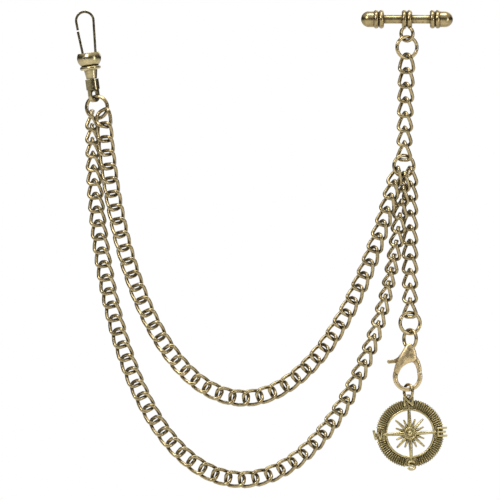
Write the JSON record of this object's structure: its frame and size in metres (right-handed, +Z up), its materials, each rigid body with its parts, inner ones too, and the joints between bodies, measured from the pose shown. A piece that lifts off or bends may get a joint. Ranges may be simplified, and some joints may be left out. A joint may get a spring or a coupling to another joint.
{
  "type": "pocket watch chain",
  "caption": "Double-drape pocket watch chain of twisted curb links with a T-bar toggle, a swivel watch clasp, and a drop chain carrying a lobster clasp and compass charm.",
  "frame": {"origin": "middle of the T-bar toggle", "axes": "+X along the T-bar, away from the draped chains; +Z up, against the hang of the chains; -Y towards the front of the compass charm"},
  "size_m": [0.1235, 0.0098, 0.1563],
  "materials": {
    "chain": "antiqued dark bronze plating with lighter worn high spots",
    "ring": "antiqued dark bronze plating with lighter worn high spots",
    "bar": "antiqued dark bronze plating with lighter worn high spots",
    "spring": "bright spring wire",
    "clasp": "antiqued dark bronze plating with lighter worn high spots",
    "charm": "antiqued dark bronze plating with lighter worn high spots",
    "swivel": "antiqued dark bronze plating with lighter worn high spots"
  },
  "bodies": {
    "t_bar": {"t_bar_rod": "bar", "t_bar_left_cap": "bar", "t_bar_right_cap": "bar", "t_bar_centre_collar": "bar", "t_bar_eye": "ring"},
    "t_bar_ring": {"t_bar_ring": "ring"},
    "upper_link_1": {"upper_link_1": "chain"},
    "upper_link_2": {"upper_link_2": "chain"},
    "upper_link_3": {"upper_link_3": "chain"},
    "upper_link_4": {"upper_link_4": "chain"},
    "upper_link_5": {"upper_link_5": "chain"},
    "upper_link_6": {"upper_link_6": "chain"},
    "upper_link_7": {"upper_link_7": "chain"},
    "junction_ring": {"junction_ring": "ring"},
    "drop_link_1": {"drop_link_1": "chain"},
    "drop_link_2": {"drop_link_2": "chain"},
    "drop_link_3": {"drop_link_3": "chain"},
    "drop_link_4": {"drop_link_4": "chain"},
    "drop_link_5": {"drop_link_5": "chain"},
    "drop_link_6": {"drop_link_6": "chain"},
    "drop_link_7": {"drop_link_7": "chain"},
    "drop_link_8": {"drop_link_8": "chain"},
    "drop_link_9": {"drop_link_9": "chain"},
    "drop_link_10": {"drop_link_10": "chain"},
    "drop_ring": {"drop_ring": "ring"},
    "clasp_ring": {"clasp_ring": "ring"},
    "lobster_clasp": {"lobster_body": "clasp", "lobster_rivet": "clasp", "lobster_spring": "spring"},
    "lobster_lever": {"lobster_lever": "clasp"},
    "charm_ring": {"charm_ring": "ring"},
    "compass_charm": {"compass_charm": "charm"},
    "outer_drape": {"outer_drape_01": "chain", "outer_drape_03": "chain", "outer_drape_05": "chain", "outer_drape_07": "chain", "outer_drape_09": "chain", "outer_drape_11": "chain"},
    "outer_drape_02": {"outer_drape_02": "chain"},
    "outer_drape_04": {"outer_drape_04": "chain"},
    "outer_drape_06": {"outer_drape_06": "chain"},
    "outer_drape_08": {"outer_drape_08": "chain"},
    "outer_drape_10": {"outer_drape_10": "chain"},
    "inner_drape": {"inner_drape_01": "chain", "inner_drape_03": "chain", "inner_drape_05": "chain", "inner_drape_07": "chain", "inner_drape_09": "chain"},
    "inner_drape_02": {"inner_drape_02": "chain"},
    "inner_drape_04": {"inner_drape_04": "chain"},
    "inner_drape_06": {"inner_drape_06": "chain"},
    "inner_drape_08": {"inner_drape_08": "chain"},
    "watch_ring": {"watch_ring": "ring"},
    "swivel_eye": {"swivel_eye": "swivel"},
    "watch_clasp": {"clasp_cup": "swivel", "swivel_pin": "swivel", "clasp_hook": "swivel", "gate_pin": "swivel", "gate_spring": "spring"},
    "clasp_gate": {"clasp_gate": "swivel"}
  },
  "joints": [
    {"name": "t_bar_ring_swing", "type": "hinge", "parent": "t_bar", "child": "t_bar_ring", "pos_m": [0, 0, -0.0071], "axis": [0.8192, -0.5736, 0], "range_deg": [-25, 25]},
    {"name": "upper_link_1_swing", "type": "hinge", "parent": "t_bar_ring", "child": "upper_link_1", "pos_m": [0, 0, -0.01265], "axis": [0.9397, 0.342, 0], "range_deg": [-15, 15]},
    {"name": "upper_link_2_swing", "type": "hinge", "parent": "upper_link_1", "child": "upper_link_2", "pos_m": [-0.00015, 0, -0.01677], "axis": [0, -1, 0], "range_deg": [-12, 12]},
    {"name": "upper_link_3_swing", "type": "hinge", "parent": "upper_link_2", "child": "upper_link_3", "pos_m": [-0.00028, 0, -0.02154], "axis": [-1, 0, 0], "range_deg": [-12, 12]},
    {"name": "upper_link_4_swing", "type": "hinge", "parent": "upper_link_3", "child": "upper_link_4", "pos_m": [-0.00042, 0, -0.02631], "axis": [0, 1, 0], "range_deg": [-12, 12]},
    {"name": "upper_link_5_swing", "type": "hinge", "parent": "upper_link_4", "child": "upper_link_5", "pos_m": [-0.00055, 0, -0.03108], "axis": [1, 0, 0], "range_deg": [-12, 12]},
    {"name": "upper_link_6_swing", "type": "hinge", "parent": "upper_link_5", "child": "upper_link_6", "pos_m": [-0.00068, 0, -0.03585], "axis": [0, -1, 0], "range_deg": [-12, 12]},
    {"name": "upper_link_7_swing", "type": "hinge", "parent": "upper_link_6", "child": "upper_link_7", "pos_m": [-0.00082, 0, -0.04061], "axis": [-1, 0, 0], "range_deg": [-12, 12]},
    {"name": "junction_ring_swing", "type": "hinge", "parent": "upper_link_7", "child": "junction_ring", "pos_m": [-0.00097, 0, -0.04599], "axis": [0.9848, -0.1736, 0], "range_deg": [-6, 12]},
    {"name": "drop_link_1_swing", "type": "hinge", "parent": "junction_ring", "child": "drop_link_1", "pos_m": [0.00215, 0.00115, -0.04867], "axis": [1, 0, 0], "range_deg": [0, 10]},
    {"name": "drop_link_2_swing", "type": "hinge", "parent": "drop_link_1", "child": "drop_link_2", "pos_m": [0.001, 0.00089, -0.05378], "axis": [0, -1, 0], "range_deg": [0, 12]},
    {"name": "drop_link_3_swing", "type": "hinge", "parent": "drop_link_2", "child": "drop_link_3", "pos_m": [0.001, 0.00096, -0.05855], "axis": [1, 0, 0], "range_deg": [0, 12]},
    {"name": "drop_link_4_swing", "type": "hinge", "parent": "drop_link_3", "child": "drop_link_4", "pos_m": [0.001, 0.00098, -0.06332], "axis": [0, -1, 0], "range_deg": [0, 12]},
    {"name": "drop_link_5_swing", "type": "hinge", "parent": "drop_link_4", "child": "drop_link_5", "pos_m": [0.001, 0.00098, -0.06809], "axis": [1, 0, 0], "range_deg": [0, 12]},
    {"name": "drop_link_6_swing", "type": "hinge", "parent": "drop_link_5", "child": "drop_link_6", "pos_m": [0.001, 0.00098, -0.07286], "axis": [0, -1, 0], "range_deg": [0, 12]},
    {"name": "drop_link_7_swing", "type": "hinge", "parent": "drop_link_6", "child": "drop_link_7", "pos_m": [0.001, 0.00098, -0.07763], "axis": [1, 0, 0], "range_deg": [0, 12]},
    {"name": "drop_link_8_swing", "type": "hinge", "parent": "drop_link_7", "child": "drop_link_8", "pos_m": [0.001, 0.00098, -0.0824], "axis": [0, -1, 0], "range_deg": [0, 12]},
    {"name": "drop_link_9_swing", "type": "hinge", "parent": "drop_link_8", "child": "drop_link_9", "pos_m": [0.001, 0.00098, -0.08717], "axis": [1, 0, 0], "range_deg": [0, 12]},
    {"name": "drop_link_10_swing", "type": "hinge", "parent": "drop_link_9", "child": "drop_link_10", "pos_m": [0.001, 0.00098, -0.09194], "axis": [0, -1, 0], "range_deg": [0, 12]},
    {"name": "drop_ring_swing", "type": "hinge", "parent": "drop_link_10", "child": "drop_ring", "pos_m": [0.001, 0.00098, -0.09731], "axis": [0.9659, -0.2588, 0], "range_deg": [-15, 15]},
    {"name": "clasp_ring_swing", "type": "hinge", "parent": "drop_ring", "child": "clasp_ring", "pos_m": [0.001, 0.00098, -0.10271], "axis": [0.9397, 0.342, 0], "range_deg": [-15, 15]},
    {"name": "lobster_swing", "type": "hinge", "parent": "clasp_ring", "child": "lobster_clasp", "pos_m": [0.001, 0.00098, -0.10746], "axis": [0.6691, -0.7431, 0], "range_deg": [-12, 12]},
    {"name": "lever_open", "type": "hinge", "parent": "lobster_clasp", "child": "lobster_lever", "pos_m": [0.0022, 0.00098, -0.11006], "axis": [0, 1, 0], "range_deg": [0, 15], "stiffness_Nm_per_rad": 0.002, "deforming": ["lobster_spring"]},
    {"name": "charm_ring_swing", "type": "hinge", "parent": "lobster_clasp", "child": "charm_ring", "pos_m": [0.0001, 0.00098, -0.12096], "axis": [1, 0, 0], "range_deg": [-15, 15]},
    {"name": "compass_swing", "type": "hinge", "parent": "charm_ring", "child": "compass_charm", "pos_m": [0.00045, 0.00098, -0.12406], "axis": [0.5878, -0.809, 0], "range_deg": [-15, 15]},
    {"name": "outer_drape_swing", "type": "hinge", "parent": "junction_ring", "child": "outer_drape", "pos_m": [-0.00121, 0.00081, -0.05078], "axis": [-0.9754, -0.0158, 0.2198], "range_deg": [0, 14]},
    {"name": "outer_drape_02_swing", "type": "hinge", "parent": "outer_drape", "child": "outer_drape_02", "pos_m": [-0.1021, 0.00146, -0.05318], "axis": [0.111, -0.0187, -0.9936], "range_deg": [-15, 15]},
    {"name": "outer_drape_04_swing", "type": "hinge", "parent": "outer_drape", "child": "outer_drape_04", "pos_m": [-0.09436, 0.00064, -0.10197], "axis": [0.3464, -0.0074, -0.9381], "range_deg": [-15, 15]},
    {"name": "outer_drape_06_swing", "type": "hinge", "parent": "outer_drape", "child": "outer_drape_06", "pos_m": [-0.07387, 0.00035, -0.14141], "axis": [0.9436, -0.0053, -0.331], "range_deg": [-15, 15]},
    {"name": "outer_drape_08_swing", "type": "hinge", "parent": "outer_drape", "child": "outer_drape_08", "pos_m": [-0.03052, 0.00011, -0.13882], "axis": [0.5685, -0.005, 0.8227], "range_deg": [-15, 15]},
    {"name": "outer_drape_10_swing", "type": "hinge", "parent": "outer_drape", "child": "outer_drape_10", "pos_m": [-0.00949, -0.00022, -0.09953], "axis": [0.2192, -0.02, 0.9755], "range_deg": [-15, 15]},
    {"name": "inner_drape_swing", "type": "hinge", "parent": "outer_drape", "child": "inner_drape", "pos_m": [-0.00419, -0.00045, -0.04868], "axis": [-0.9783, -0.0031, 0.2072], "range_deg": [0, 12]},
    {"name": "inner_drape_02_swing", "type": "hinge", "parent": "inner_drape", "child": "inner_drape_02", "pos_m": [-0.09692, -0.00329, -0.05257], "axis": [0.2, 0.0612, -0.9779], "range_deg": [-15, 15]},
    {"name": "inner_drape_04_swing", "type": "hinge", "parent": "inner_drape", "child": "inner_drape_04", "pos_m": [-0.08485, -0.00105, -0.09595], "axis": [0.5521, 0.0123, -0.8337], "range_deg": [-15, 15]},
    {"name": "inner_drape_06_swing", "type": "hinge", "parent": "inner_drape", "child": "inner_drape_06", "pos_m": [-0.04818, -0.00073, -0.12312], "axis": [0.8302, -0.0028, 0.5575], "range_deg": [-15, 15]},
    {"name": "inner_drape_08_swing", "type": "hinge", "parent": "inner_drape", "child": "inner_drape_08", "pos_m": [-0.01765, -0.0011, -0.09183], "axis": [0.3727, -0.0275, 0.9276], "range_deg": [-15, 15]},
    {"name": "watch_ring_swing", "type": "hinge", "parent": "outer_drape", "child": "watch_ring", "pos_m": [-0.00121, 0.00081, -0.05078], "axis": [-0.9754, -0.0158, 0.2198], "range_deg": [-14, 0]},
    {"name": "swivel_eye_swing", "type": "hinge", "parent": "watch_ring", "child": "swivel_eye", "pos_m": [-0.1013, 0, -0.0252], "axis": [0.9397, -0.342, 0], "range_deg": [-15, 15]},
    {"name": "swivel_turn", "type": "hinge", "parent": "swivel_eye", "child": "watch_clasp", "pos_m": [-0.103, 0, -0.01948], "axis": [-0.1305, 0, 0.9914], "continuous": true},
    {"name": "gate_open", "type": "hinge", "parent": "watch_clasp", "child": "clasp_gate", "pos_m": [-0.10565, 0, -0.01277], "axis": [0, 1, 0], "range_deg": [0, 16], "stiffness_Nm_per_rad": 0.002, "deforming": ["gate_spring"]}
  ],
  "couplings": [
    {"joint": "watch_ring_swing", "follows": "outer_drape_swing", "ratio": -1}
  ]
}
